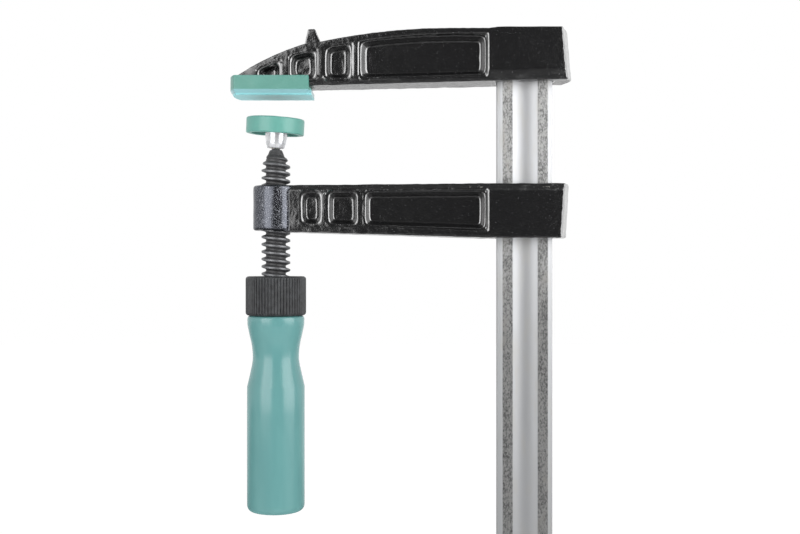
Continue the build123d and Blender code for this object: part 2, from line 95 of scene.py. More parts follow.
lens = bpy.data.cameras.new("camera")
lens.lens = CAMERA_LENS
lens.sensor_width = SENSOR_WIDTH
camera = bpy.data.objects.new("camera", lens)
camera.location = (CAMERA_SIDE, -CAMERA_DISTANCE, CAMERA_HEIGHT)
camera.rotation_euler = (pi / 2, 0, 0)
bpy.context.scene.collection.objects.link(camera)
bpy.context.scene.camera = camera
bpy.context.scene.view_settings.view_transform = "Standard"

# %% [markdown]
# ## Shader maths that reads like maths
# A material is a graph of nodes, and a graph is slow to write out by hand. The
# class below wraps a socket, so that `1 - mask * 0.5` adds its own Math nodes.
# Every other node comes from one method, which takes the node's type, its settings
# and what goes into its sockets.

# %% A socket that can be added and multiplied
class Value:
    """One output socket of a finish's node, which takes part in sums."""

    def __init__(self, finish, socket):
        self.finish = finish
        self.socket = socket

    def maths(self, operation, *values):
        return self.finish.node("ShaderNodeMath", {"operation": operation}, dict(enumerate(values)))

    def __add__(self, other):
        return self.maths("ADD", self, other)

    def __radd__(self, other):
        return self.maths("ADD", other, self)

    def __sub__(self, other):
        return self.maths("SUBTRACT", self, other)

    def __rsub__(self, other):
        return self.maths("SUBTRACT", other, self)

    def __mul__(self, other):
        return self.maths("MULTIPLY", self, other)

    def __rmul__(self, other):
        return self.maths("MULTIPLY", other, self)

    def __abs__(self):
        return self.maths("ABSOLUTE", self)

    def most(self, other):
        return self.maths("MAXIMUM", self, other)


# %% A material that is built node by node
class Finish:
    """A shader with constants on its own sockets, and what varies as nodes."""

    def __init__(self, tree, shader=None):
        self.tree = tree
        self.shader = shader

    def node(self, kind, settings=None, sockets=None, output=0):
        """Adds one node, its settings first, and gives one of its outputs."""
        made = self.tree.nodes.new(kind)
        for name, value in (settings or {}).items():
            setattr(made, name, value)
        for name, value in (sockets or {}).items():
            self.feed(made.inputs[name], value)
        return Value(self, made.outputs[output])

    def feed(self, socket, value):
        """Links a value into a socket, or sets a constant on it."""
        if isinstance(value, Value):
            self.tree.links.new(value.socket, socket)
        else:
            socket.default_value = value

    def paint(self, **values):
        """Feeds the shader's own sockets, with _ for the space in a socket's name."""
        for name, value in values.items():
            self.feed(self.shader.inputs[name.replace("_", " ")], value)


def new_finish(name, **constants):
    """A Principled material with some of its sockets set."""
    material = bpy.data.materials.new(name)
    material.use_nodes = True
    finish = Finish(material.node_tree, material.node_tree.nodes["Principled BSDF"])
    finish.material = material
    finish.paint(**constants)
    return finish


# %% The few nodes that every finish needs
def colour(red, green, blue):
    """A colour as it looks on a screen, 0 to 255, turned into the linear one of shaders."""
    parts = [c / 255 for c in (red, green, blue)]
    return tuple(((c + 0.055) / 1.055) ** 2.4 if c > 0.04 else c / 12.92 for c in parts) + (1,)


def place_in_mm(finish):
    """Where the surface is on the clamp, in millimetres. It rides with the piece."""
    where = finish.node("ShaderNodeTexCoord", output="Object")
    return finish.node("ShaderNodeVectorMath", {"operation": "SCALE"}, {0: where, "Scale": 1 / MM})


def less(finish, where, centre):
    """A place, seen from another one."""
    return finish.node("ShaderNodeVectorMath", {"operation": "SUBTRACT"}, {0: where, 1: centre})


def times(finish, where, x, y, z):
    """A place with each of its coordinates multiplied, for grain that runs one way."""
    return finish.node("ShaderNodeVectorMath", {"operation": "MULTIPLY"}, {0: where, 1: (x, y, z)})


def length_of(finish, where):
    """How far a place is from the origin."""
    return finish.node("ShaderNodeVectorMath", {"operation": "LENGTH"}, {0: where}, output="Value")


def coordinate(finish, where, axis):
    """One coordinate of a place: X, Y or Z."""
    return finish.node("ShaderNodeSeparateXYZ", None, {0: where}, output=axis)


def grain(finish, where, size, detail=2.0, roughness=0.5):
    """Smooth noise from 0 to 1 whose lumps are about size millimetres across."""
    sockets = {"Vector": where, "Scale": 1 / size, "Detail": detail, "Roughness": roughness}
    return finish.node("ShaderNodeTexNoise", {"noise_dimensions": "3D"}, sockets)


def fade(finish, value, start, end, low=0.0, high=1.0):
    """Turns a value into one that changes smoothly from low at start to high at end."""
    sockets = {"Value": value, "From Min": start, "From Max": end, "To Min": low, "To Max": high}
    return finish.node("ShaderNodeMapRange", {"interpolation_type": "SMOOTHSTEP"}, sockets)


def blend(finish, first, second, mask):
    """Mixes two colours by a mask."""
    sockets = {"Factor": mask, 6: first, 7: second}
    return finish.node("ShaderNodeMix", {"data_type": "RGBA"}, sockets, output=2)


def relief(finish, height, depth, below=None):
    """Bumps of up to depth millimetres, on top of coarser ones if there are any."""
    sockets = {"Height": height, "Distance": depth * MM, "Strength": 1.0}
    if below is not None:
        sockets["Normal"] = below
    return finish.node("ShaderNodeBump", None, sockets)


# %% [markdown]
# ## Studio light, floor and background
# The clamp was lit by two large, near soft boxes, left and right of the lens and a
# little above it: each leaves an upright strip on the handle and the boss. The
# undersides are nearly as light as the sides, so a white table in front of the
# clamp threw light back up, and the glossy undersides mirror it. Behind the clamp
# everything is white. The room around the lens is dim, and so is what lies straight
# above and below, which is why enamel that faces that way looks black. The lamps,
# the world and the floor repeat this. What only the lens or a mirror sees comes
# from the light path, so it puts no extra light on the clamp.

# %% Soft boxes
LAMP_RADIANCE = 3.2
# Each lamp: the middle of its panel and its width and height, in metres
LAMPS = (
    (Vector((-0.31, -0.50, 0.05)), (0.48, 0.60)),
    (Vector((0.50, -0.28, 0.05)), (0.50, 0.60)),
)
clamp_middle = Vector((CAMERA_SIDE, 0, CAMERA_HEIGHT))


def light_panel(name, place, size, radiance, towards):
    """A rectangular lamp that the lens can't see, its face turned towards a direction."""
    lamp = bpy.data.lights.new(name, "AREA")
    lamp.shape = "RECTANGLE"
    lamp.size, lamp.size_y = size
    lamp.energy = pi * radiance * size[0] * size[1]
    panel = bpy.data.objects.new(name, lamp)
    panel.location = place
    panel.rotation_euler = (-towards).to_track_quat("Z", "Y").to_euler()
    panel.visible_camera = False
    bpy.context.scene.collection.objects.link(panel)
    return panel


for place, size in LAMPS:
    light_panel("soft_box", place, size, LAMP_RADIANCE, clamp_middle - place)

# %% The white room
ROOM_LIGHT = 0.2
MIRRORED_FRONT = (0.05, 0.1)
MIRRORED_STEEP = 0.2
# Parts of a unit direction, between which the room's light changes
FRONT_RISE = (-0.3, 0.3)
AROUND_LENS = (-0.9, -0.55)
STEEP_RISE = (0.85, 0.5)

world = bpy.data.worlds.new("studio")
bpy.context.scene.world = world
world.use_nodes = True
world.node_tree.nodes.clear()
room = Finish(world.node_tree)
facing = room.node("ShaderNodeTexCoord", output="Generated")
upward = coordinate(room, facing, "Z")
front = fade(room, upward, *FRONT_RISE, *MIRRORED_FRONT)
behind = fade(room, coordinate(room, facing, "Y"), *AROUND_LENS)
level = fade(room, abs(upward), *STEEP_RISE)
mirrored = (front * (1 - behind) + behind) * level + MIRRORED_STEEP * (1 - level)
by_lens = room.node("ShaderNodeLightPath", output="Is Camera Ray")
by_mirror = room.node("ShaderNodeLightPath", output="Is Glossy Ray")
brightness = by_lens + (1 - by_lens) * (by_mirror * mirrored + (1 - by_mirror) * ROOM_LIGHT)
sky = room.node("ShaderNodeBackground", None, {"Color": (1, 1, 1, 1), "Strength": brightness})
room_result = room.tree.nodes.new("ShaderNodeOutputWorld")
room.feed(room_result.inputs["Surface"], sky)

# %% The floor, low enough for the arm at the end of its travel
FLOOR_DROP = 200 * MM
FLOOR_SIZE = 12.0


def finished(shape, name):
    """Ends the work on a shape: its skin becomes a mesh."""
    mesh = bpy.data.meshes.new(name)
    shape.to_mesh(mesh)
    shape.free()
    return mesh


sheet = bmesh.new()
bmesh.ops.create_grid(sheet, x_segments=8, y_segments=8, size=FLOOR_SIZE / 2)
floor_mesh = finished(sheet, "floor")
floor_sheet = bpy.data.objects.new("floor", floor_mesh)
floor_sheet.location = (CAMERA_SIDE, 0, cad_box[0][2] - FLOOR_DROP)
bpy.context.scene.collection.objects.link(floor_sheet)

# %% The floor's white, and the table in front of the clamp
FLOOR_SHADE = 0.25
FLOOR_GLOW = 1.3
TABLE_MIRRORED = 0.75
TABLE_BOUNCE_SIZE = (1.4, 1.4)
TABLE_BOUNCE_RADIANCE = 0.8
TABLE_BOUNCE_RISE = 5 * MM
# Depths, in millimetres, over which what a mirror sees on the floor grows lighter
TABLE_NEAR_EDGE = (-1300, -900)
TABLE_FAR_EDGE = (-150, -350)
WHITE_BACK = (600, 2000)

floor_white = new_finish("floor_white", Base_Color=(0.8, 0.8, 0.8, 1), Roughness=0.9)
by_lens = floor_white.node("ShaderNodeLightPath", output="Is Camera Ray")
by_mirror = floor_white.node("ShaderNodeLightPath", output="Is Glossy Ray")
depth = coordinate(floor_white, place_in_mm(floor_white), "Y")
far_back = fade(floor_white, depth, *WHITE_BACK)
in_front = fade(floor_white, depth, *TABLE_FAR_EDGE) * fade(floor_white, depth, *TABLE_NEAR_EDGE)
glow = by_lens * FLOOR_GLOW + by_mirror * (MIRRORED_STEEP + in_front * TABLE_MIRRORED + far_back)
lit = floor_white.node("ShaderNodeEmission", None, {"Color": (1, 1, 1, 1), "Strength": glow})
share = by_lens.most(by_mirror) * (1 - FLOOR_SHADE)
plain = Value(floor_white, floor_white.shader.outputs[0])
mixed = floor_white.node("ShaderNodeMixShader", None, {0: share, 1: plain, 2: lit})
floor_white.feed(floor_white.tree.nodes["Material Output"].inputs["Surface"], mixed)
floor_mesh.materials.append(floor_white.material)

up = Vector((0, 0, 1))
above_floor = floor_sheet.location + up * TABLE_BOUNCE_RISE
table_bounce = light_panel("table_bounce", above_floor, TABLE_BOUNCE_SIZE, TABLE_BOUNCE_RADIANCE, up)
table_bounce.visible_glossy = False

# %% [markdown]
# ## Putting a finished mesh on the clamp
# Each new piece stands for one construction piece, rides on the same moving body,
# and says which of the clamp's finishes it wears. Faces are shaded smooth, with a
# hard line only where two faces meet at a real edge.

# %% One way for every piece
EDGE_ANGLE = radians(38)


def add_piece(mesh, node, body, finish):
    """Adds a mesh as the piece that is seen in place of a construction piece."""
    piece = bpy.data.objects.new(mesh.name, mesh)
    bpy.context.scene.collection.objects.link(piece)
    mesh.materials.clear()
    mesh.materials.append(finish.material)
    mesh.shade_smooth()
    mesh.set_sharp_from_angle(angle=EDGE_ANGLE)
    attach(piece, body)
    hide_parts(node)
    print(mesh.name, "has", len(mesh.polygons), "faces")


# %% [markdown]
# ## Castings
# Both jaws are sand cast, so no edge on them is sharp and no face quite flat. The
# construction mesh has crisp edges. A voxel remesh turns it into an even skin of
# small squares, smoothing then rolls every edge over by about the radius that a
# mould leaves, and two noises move the skin by up to about a tenth of a millimetre,
# so that long reflections waver. Bevelling by hand would need every edge picked.
#
# The ribbed pockets are rounder still, so that part of the skin is smoothed further.
# A pocket is told from the rest by rays: its points have metal above and below
# them. The light shows on its flanks as thin lines along their rims and their feet,
# so the flanks are then made steep in the middle. The castings' ends at the rail
# grow by most of a millimetre, to where the photograph shows them.

# %% Tools for softening
POCKET_RIM = 5
POCKET_FLOOR = 6.4
POCKET_TOP = 11.0
POCKET_SHARE = 0.8
RAY_LIFT = 0.4
EVERY_WAY = {"use_axis_x": True, "use_axis_y": True, "use_axis_z": True}


def modified(thing):
    """A new mesh of an object as its modifiers leave it."""
    return bpy.data.meshes.new_from_object(thing.evaluated_get(bpy.context.evaluated_depsgraph_get()))


def worked(mesh, *changes):
    """A mesh with modifiers applied, each of them its type and its settings."""
    helper = bpy.data.objects.new("work", mesh)
    bpy.context.scene.collection.objects.link(helper)
    for kind, settings in changes:
        modifier = helper.modifiers.new(kind, kind)
        for name, value in settings.items():
            setattr(modifier, name, value)
    made = modified(helper)
    bpy.data.objects.remove(helper)
    bpy.data.meshes.remove(mesh)
    return made


def pocket_rims(shape, half_width):
    """The vertices with metal above and below them, and that set grown ring by ring."""
    tree = BVHTree.FromBMesh(shape)
    inside = set()
    for vertex in shape.verts:
        start = vertex.co + vertex.normal * RAY_LIFT * MM
        if abs(vertex.co.y) < half_width and tree.ray_cast(start, up)[0] and tree.ray_cast(start, -up)[0]:
            inside.add(vertex)
    rims = [inside]
    for _ in range(POCKET_RIM):
        around = {edge.other_vert(vertex) for vertex in rims[-1] for edge in vertex.link_edges}
        rims.append(rims[-1] | around)
    return [list(rim) for rim in rims]


def steeper(depth):
    """A point of a pocket's flank, along Y, with the flank made steep in its middle."""
    part = min(1, max(0, (abs(depth) / MM - POCKET_FLOOR) / (POCKET_TOP - POCKET_FLOOR)))
    for _ in range(2):
        part = part * part * (3 - 2 * part)
    return (POCKET_FLOOR + (POCKET_TOP - POCKET_FLOOR) * part) * MM * (1 if depth > 0 else -1)


# %% Softening a construction mesh
WELD = 0.001
END_START = 136.0
END_LENGTH = 12.0


def softened(node, name, voxel, passes, pocket_passes, end_growth, keep, waves):
    """A construction piece with rolled edges and an uneven skin: waves are (height, size)."""
    shape = bmesh.new()
    shape.from_mesh(frame["nodes"][node].data)
    bmesh.ops.remove_doubles(shape, verts=shape.verts, dist=WELD * MM)
    skin = ("REMESH", {"mode": "VOXEL", "voxel_size": voxel * MM})
    made = worked(finished(shape, name + "_work"), skin, ("SMOOTH", {"factor": 0.5, "iterations": passes}))
    if pocket_passes:
        shape = bmesh.new()
        shape.from_mesh(made)
        rims = pocket_rims(shape, corners(node)[1].y * MM * POCKET_SHARE)
        for number in range(pocket_passes):
            bmesh.ops.smooth_vert(shape, verts=rims[number % len(rims)], factor=0.5, **EVERY_WAY)
        for vertex in rims[-1]:
            if POCKET_FLOOR - 1 < abs(vertex.co.y) / MM < POCKET_TOP:
                vertex.co.y = steeper(vertex.co.y)
        shape.to_mesh(made)
        shape.free()
    made = worked(made, ("DECIMATE", {"ratio": keep}))
    made.name = name
    moves = [
        vertex.normal * sum(high * MM * noise.noise(vertex.co / (size * MM)) for high, size in waves)
        for vertex in made.vertices
    ]
    for vertex, move in zip(made.vertices, moves):
        vertex.co += move
        vertex.co.x += end_growth * MM * min(1, max(0, (vertex.co.x / MM - END_START) / END_LENGTH))
    return made


# %% [markdown]
# ### Black enamel
# The enamel is thick and glossy over a rough cast skin: it levels small pits but
# follows the lumps, which break each reflection into beads. It runs while it is wet
# and sets thickest on upright flanks, whose edges shine most: a clear coat over them
# gives that. Dust shows as pale specks. The enamel has worn through at a few places
# on the arm where the jaws knock together. Two spots on the fixed jaw's lower edge
# are painted highlights: lit corners given the colour of worn iron. The enamel was
# ground off the boss that holds the spindle, which is bare grey metal with a grain
# that glitters.

# %% Where the enamel is gone, and where highlights are painted
arm_low, arm_high = corners("sliding_arm")
jaw_low = corners("fixed_jaw")[0]

# Each spot, worn enamel on the arm and painted highlights on the jaw: its middle, and how far it reaches
# along X, Y and Z
WORN_AND_HIGHLIGHT_SPOTS = (
    ((105.0, arm_low.y, arm_high.z - 2.2), (2.1, 3.0, 0.9)),
    ((110.6, arm_low.y, arm_high.z - 2.2), (3.0, 3.0, 0.9)),
    ((145.5, arm_low.y, arm_high.z - 2.0), (4.6, 3.0, 0.7)),
    # the two spots on the fixed jaw are painted highlights: lit corners given the worn iron colour
    ((116.3, jaw_low.y, jaw_low.z + 2.3), (4.2, 4.0, 1.2)),
    ((152.1, jaw_low.y, jaw_low.z + 3.0), (2.2, 4.0, 1.5)),
)
BOSS_RADIUS = 12.6
BOSS_CLEARANCE = 10      # how far below the jaw the bare metal may start


def patch(finish, where, middle, reach):
    """A soft spot: 1 in the middle of an ellipsoid and 0 outside it."""
    apart = less(finish, where, middle)
    return fade(finish, length_of(finish, times(finish, apart, *(1 / side for side in reach))), 1.0, 0.4)


# %% Black enamel over cast iron
ENAMEL_BLACK = colour(16, 16, 17)
ENAMEL_DUST = colour(130, 130, 132)
# the colour of worn iron, also painted on the fixed jaw's lit corners as a highlight
WORN_IRON_AND_HIGHLIGHT = colour(118, 116, 110)
BOSS_GREY = colour(78, 80, 86)
BOSS_GLINT = colour(170, 172, 178)
ENAMEL_LUMPS = 0.34
ENAMEL_PITS = 0.06


def black_enamel():
    """Glossy black enamel, worn in places and with painted highlights on two jaw corners, with the bare
    ground boss on the arm.
    """
    finish = new_finish("black_enamel", IOR=1.85, Coat_IOR=2.2, Coat_Roughness=0.1)
    where = place_in_mm(finish)
    lumps = grain(finish, where, 2.6, 2.0, 0.55)
    pits = grain(finish, where, 0.8, 2.0, 0.6)
    worn_and_highlight = 0
    for middle, reach in WORN_AND_HIGHLIGHT_SPOTS:
        worn_and_highlight = patch(finish, where, middle, reach) + worn_and_highlight
    worn_and_highlight = fade(finish, worn_and_highlight * 0.4 + pits * 0.8, 0.76, 0.84)
    bare = fade(finish, length_of(finish, times(finish, where, 1, 1, 0)), BOSS_RADIUS + 0.5, BOSS_RADIUS)
    bare = bare * fade(finish, coordinate(finish, where, "Z"), jaw_low.z, jaw_low.z - BOSS_CLEARANCE)
    specks = fade(finish, grain(finish, where, 0.5, 0.0), 0.79, 0.84)
    glints = fade(finish, grain(finish, where, 0.45, 1.0, 0.7), 0.56, 0.70)
    shade = blend(finish, ENAMEL_BLACK, ENAMEL_DUST, specks * 0.7)
    # worn enamel on the arm, and painted highlights on the fixed jaw's lit corners
    shade = blend(finish, shade, WORN_IRON_AND_HIGHLIGHT, worn_and_highlight)
    shade = blend(finish, shade, blend(finish, BOSS_GREY, BOSS_GLINT, glints * 0.8), bare)
    finish.paint(Base_Color=shade)
    finish.paint(Metallic=bare + worn_and_highlight * 0.5)
    finish.paint(Roughness=(0.12 + 0.12 * lumps + 0.2 * worn_and_highlight) * (1 - bare) + bare * (0.17 + 0.14 * pits))
    facing = finish.node("ShaderNodeTexCoord", output="Normal")
    flank = fade(finish, abs(coordinate(finish, facing, "Y")), 0.97, 0.85) * (1 - bare)
    finish.paint(Coat_Weight=fade(finish, abs(coordinate(finish, facing, "X")), 0.1, 0.3) * (1 - bare))
    broad = relief(finish, lumps * (0.35 + 0.65 * flank) * (1 - bare * 0.75), ENAMEL_LUMPS)
    finish.paint(Normal=relief(finish, pits * (1 - bare * 0.5) + glints * bare * 0.6, ENAMEL_PITS, broad))
    return finish


enamel = black_enamel()

# %% The fixed jaw and the sliding arm
CAST_WAVES = ((0.16, 5.0), (0.06, 1.9))
CAST_SKIN = {"voxel": 0.45, "passes": 10, "pocket_passes": 60, "end_growth": 0.8, "keep": 0.4}

for node, body in (("fixed_jaw", "rail"), ("sliding_arm", "sliding_arm")):
    casting = softened(node, node + "_casting", waves=CAST_WAVES, **CAST_SKIN)
    add_piece(casting, node, body, enamel)

# %% [markdown]
# ## The rolled rail
# The rail comes out of a rolling mill with one section from end to end: a shallow
# hollow groove down each wide face, a flat land on each side of it, and a rounded
# shoulder that leads to the narrow side. The rolls leave the lands rough and the
# groove and shoulders smooth and bright. The section is drawn as a formula, laid in
# closely spaced rings, and only the points of the lands are roughened. The hole for
# the stop pin is cut last, as it is drilled in the real one.

# %% The rail's section
GROOVE_HALF = 6.75
GROOVE_DEPTH = 1.9
SHOULDER_WIDTH = 2.7
SHOULDER_ROUNDING = 0.9
SHOULDER_SLOPE = 0.66
GROOVE_STEPS = 10
LAND_STEPS = 8
SHOULDER_STEPS = 9
SIDE_STEPS = 4

rail_low, rail_high = corners("guide_rail")
rail_middle = (rail_low.x + rail_high.x) / 2
rail_half = (rail_high.x - rail_low.x) / 2
rail_thick = (rail_high.y - rail_low.y) / 2
land_half = rail_half - SHOULDER_WIDTH


def rail_depth(x):
    """How far the wide face lies inside the rail's thickness, x from its middle."""
    x = abs(x)
    if x < GROOVE_HALF:
        radius = (GROOVE_HALF**2 + GROOVE_DEPTH**2) / (2 * GROOVE_DEPTH)
        return sqrt(radius**2 - x**2) - (radius - GROOVE_DEPTH)
    if x < land_half:
        return 0.0
    past = x - land_half
    if past < SHOULDER_ROUNDING:
        return SHOULDER_SLOPE * past**2 / (2 * SHOULDER_ROUNDING)
    return SHOULDER_SLOPE * (past - SHOULDER_ROUNDING / 2)


def rail_ring():
    """The section as points around the rail, with how rough the surface is at each."""
    land = land_half - GROOVE_HALF
    across = [GROOVE_HALF * sin(step / GROOVE_STEPS * pi / 2) for step in range(GROOVE_STEPS + 1)]
    across += [GROOVE_HALF + land * step / LAND_STEPS for step in range(1, LAND_STEPS + 1)]
    across += [land_half + SHOULDER_WIDTH * step / SHOULDER_STEPS for step in range(1, SHOULDER_STEPS + 1)]
    face = [(x, rail_depth(x) - rail_thick, GROOVE_HALF < x < land_half) for x in across]
    half = [(-x, y, rough) for x, y, rough in reversed(face[1:])] + face
    edge = rail_thick - rail_depth(rail_half)
    side = [(rail_half, edge * step / SIDE_STEPS, False) for step in range(1 - SIDE_STEPS, SIDE_STEPS)]
    front = half + side
    return front + [(-x, -y, rough) for x, y, rough in front]


# %% The rail's mesh
RAIL_RING_STEP = 2.0
RAIL_END_CHAMFER = 0.4
LAND_ROUGHNESS = 0.05
LAND_GRAIN = 1.1


def band(shape, lower, upper):
    """Faces between two rings of points. A ring of one point is a tip."""
    count = max(len(lower), len(upper))
    for side in range(count):
        after = (side + 1) % count
        below = [lower[side % len(lower)], lower[after % len(lower)]]
        above = [upper[after % len(upper)], upper[side % len(upper)]]
        shape.faces.new(list(dict.fromkeys(below + above)))


def bar_mesh(name, ring, low, high):
    """A bar from rings of points, with a small chamfer at both ends."""
    count = ceil((high - low) / RAIL_RING_STEP)
    levels = [(low, 1), (low + RAIL_END_CHAMFER, 0)]
    levels += [(low + (high - low) * step / count, 0) for step in range(1, count)]
    levels += [(high - RAIL_END_CHAMFER, 0), (high, 1)]
    shape = bmesh.new()
    rings = []
    for z, end in levels:
        made = []
        for x, y, rough in ring:
            inward = -Vector((x / rail_half * 0.5, y / rail_thick, 0)) * RAIL_END_CHAMFER * end
            place = Vector((rail_middle + x, y, z)) + inward
            if rough and not end:
                place.y += LAND_ROUGHNESS * noise.noise(place / LAND_GRAIN)
            made.append(shape.verts.new(place * MM))
        rings.append(made)
    for lower, upper in zip(rings, rings[1:]):
        band(shape, lower, upper)
    shape.faces.new(reversed(rings[0]))
    shape.faces.new(rings[-1])
    bmesh.ops.recalc_face_normals(shape, faces=shape.faces)
    return finished(shape, name)


# %% The drilled hole
HOLE_SIDES = 40
DRILL_PAST = 2


def drilled(mesh, middle, radius, reach):
    """The same mesh with a round hole through it along Y."""
    bit = bmesh.new()
    turn = Matrix.Translation(middle * MM) @ Matrix.Rotation(pi / 2, 4, "X")
    size = {"radius1": radius * MM, "radius2": radius * MM, "depth": 2 * reach * MM}
    bmesh.ops.create_cone(bit, cap_ends=True, segments=HOLE_SIDES, matrix=turn, **size)
    tool = bpy.data.objects.new("bit", finished(bit, "bit"))
    work = bpy.data.objects.new("work", mesh)
    for thing in (tool, work):
        bpy.context.scene.collection.objects.link(thing)
    cut = work.modifiers.new("cut", "BOOLEAN")
    cut.operation = "DIFFERENCE"
    cut.solver = "EXACT"
    cut.object = tool
    made = modified(work)
    made.name = mesh.name
    for thing in (tool, work):
        bpy.data.objects.remove(thing)
    return made


# %% Rolled steel
RAIL_SMOOTH = colour(180, 181, 183)
RAIL_LAND = colour(180, 180, 179)
RAIL_DARK = colour(106, 106, 106)
# how much the painted shade darkens the rail's colour at its bottom
RAIL_SHADE_FACTOR = (0.55, 0.55, 0.55)
RAIL_SHADE_HEIGHTS = (-20, -130)      # heights between which painted shade darkens the rail towards its bottom
RAIL_RUST = colour(150, 144, 134)


def rolled_steel():
    """Bright smooth steel in the groove and on the shoulders, mottled on the lands, with painted shade
    towards the bottom.
    """
    finish = new_finish("rolled_steel", Metallic=0.75)
    where = place_in_mm(finish)
    across = abs(coordinate(finish, where, "X") - rail_middle)
    outward = abs(coordinate(finish, where, "Y"))
    on_land = fade(finish, across, GROOVE_HALF - 0.15, GROOVE_HALF + 0.15)
    on_land = on_land * fade(finish, across, land_half + 0.2, land_half - 0.1)
    on_land = on_land * fade(finish, outward, rail_thick - 0.6, rail_thick - 0.3)
    mottle = grain(finish, times(finish, where, 1, 1, 0.55), 0.75, 3.0, 0.65)
    clouds = grain(finish, times(finish, where, 1, 1, 0.35), 5.5, 2.0)
    drawn = grain(finish, times(finish, where, 1, 1, 0.03), 0.5, 2.0)
    shade = blend(finish, RAIL_DARK, RAIL_LAND, fade(finish, mottle + clouds * 0.4, 0.48, 0.84))
    shade = blend(finish, shade, RAIL_RUST, fade(finish, clouds, 0.56, 0.75) * 0.3)
    groove = blend(finish, RAIL_SMOOTH, RAIL_LAND, fade(finish, clouds + drawn * 0.4, 0.66, 0.95))
    shade = blend(finish, groove, shade, on_land)
    # painted shade: the colour grows darker towards the rail's bottom, most on the lands
    painted_shade_low = fade(finish, coordinate(finish, where, "Z") + clouds * 30, *RAIL_SHADE_HEIGHTS)
    shaded_lower = times(finish, shade, *RAIL_SHADE_FACTOR)
    finish.paint(Base_Color=blend(finish, shade, shaded_lower, painted_shade_low * (0.4 + 0.6 * on_land)))
    finish.paint(Roughness=0.46 + 0.12 * clouds + on_land * (0.04 + 0.12 * mottle))
    fine = relief(finish, mottle * on_land, 0.12)
    finish.paint(Normal=relief(finish, drawn * (1 - on_land), 0.008, fine))
    return finish


pin_low, pin_high = corners("rail_stop_pin")
pin_radius = (pin_high.x - pin_low.x) / 2
rail_mesh = bar_mesh("rolled_rail", rail_ring(), rail_low.z, rail_high.z)
rail_mesh = drilled(rail_mesh, (pin_low + pin_high) / 2, pin_radius, rail_thick + DRILL_PAST)
add_piece(rail_mesh, "guide_rail", "rail", rolled_steel())


# %% [markdown]
# ### The stop pin
# A rolled spring pin is a strip of steel curled into a tube. Its construction piece
# already has the true shape, with the slit, so it only needs its steel: blued and a
# little oily, with lines along its length from drawing.

# %% Spring steel on the pin
def repaint(node, finish):
    """Gives a construction piece that stays in view its own material."""
    for slot in frame["nodes"][node].material_slots:
        slot.material = finish.material


def spring_steel():
    """Blued spring steel with lines along the pin."""
    finish = new_finish("spring_steel", Metallic=1.0)
    where = place_in_mm(finish)
    lines = grain(finish, times(finish, where, 1, 0.06, 1), 0.25, 2.0)
    stain = grain(finish, where, 1.6, 2.0)
    shade = blend(finish, colour(92, 94, 101), colour(158, 156, 152), lines * stain * 2.4)
    finish.paint(Base_Color=shade)
    finish.paint(Roughness=0.26 + 0.25 * stain)
    finish.paint(Normal=relief(finish, lines, 0.01))
    return finish


repaint("rail_stop_pin", spring_steel())

# %% [markdown]
# ## Turned shapes
# The handle, the plate with its ball socket and the pad over it are all round about
# one axis. A lathe in code takes half an outline as points of radius and height,
# rounds its corners, and spins it. The plate and pad spin about an axis that leans a
# little, because the ball under them lets them tilt.

# %% Rounding a corner and a flowing line
SIDE_SHARE = 0.45        # how much of a side one rounded corner may take


def rounded(points, steps=6):
    """Points of (radius, height, rounding), each corner rounded by a small curve."""
    line = []
    for number, (r, z, rounding) in enumerate(points):
        here = Vector((r, z))
        if not rounding or number in (0, len(points) - 1):
            line.append(here)
            continue
        before = Vector(points[number - 1][:2]) - here
        after = Vector(points[number + 1][:2]) - here
        start = here + before.normalized() * min(rounding, before.length * SIDE_SHARE)
        end = here + after.normalized() * min(rounding, after.length * SIDE_SHARE)
        for step in range(steps + 1):
            t = step / steps
            line.append(start * (1 - t) ** 2 + here * 2 * t * (1 - t) + end * t**2)
    return line


def flowing(points, steps=8):
    """A smooth line through points of (radius, height)."""
    spots = [Vector(point) for point in points]
    spots = [2 * spots[0] - spots[1]] + spots + [2 * spots[-1] - spots[-2]]
    line = [spots[1]]
    for a, b, c, d in zip(spots, spots[1:], spots[2:], spots[3:]):
        for step in range(1, steps + 1):
            t = step / steps
            spot = b + (c - a) * t / 2 + (2 * a - 5 * b + 4 * c - d) * t**2 / 2
            line.append(spot + (3 * b - a - 3 * c + d) * t**3 / 2)
    return line


# %% The lathe
TURNED_SIDES = 96
ON_AXIS = 0.001


def turned(name, outline, matrix=Matrix(), waves=()):
    """Spins an outline that starts and ends on the axis, and closes it at both ends."""
    shape = bmesh.new()
    rings = []
    for r, z in outline:
        if r < ON_AXIS:
            rings.append([shape.verts.new(matrix @ Vector((0, 0, z)))])
            continue
        around = [2 * pi * side / TURNED_SIDES for side in range(TURNED_SIDES)]
        rings.append([shape.verts.new(matrix @ Vector((r * cos(a), r * sin(a), z))) for a in around])
    for lower, upper in zip(rings, rings[1:]):
        band(shape, lower, upper)
    bmesh.ops.recalc_face_normals(shape, faces=shape.faces)
    shape.normal_update()
    for vertex in shape.verts:
        vertex.co += vertex.normal * sum(high * noise.noise(vertex.co / size) for high, size in waves)
    bmesh.ops.scale(shape, vec=(MM, MM, MM), verts=shape.verts)
    return finished(shape, name)


# %% [markdown]
# ## Green plastic shoes
# The shoe under the fixed jaw and the cap over the pressure plate protect the
# workpiece. Both are moulded in a soft satin plastic. The shoe's sole and its
# underside are coloured paler and bluer: painted light, standing in for light thrown
# up and mirrored from below. The cap is a little lighter than the shoe. The shoe is
# softened from the construction mesh like a casting, only far less. The cap is turned.

# %% Satin green plastic
SHOE_GREEN = colour(90, 148, 136)
SHOE_PALE = colour(104, 160, 148)
SHOE_SCUFF = colour(146, 186, 180)
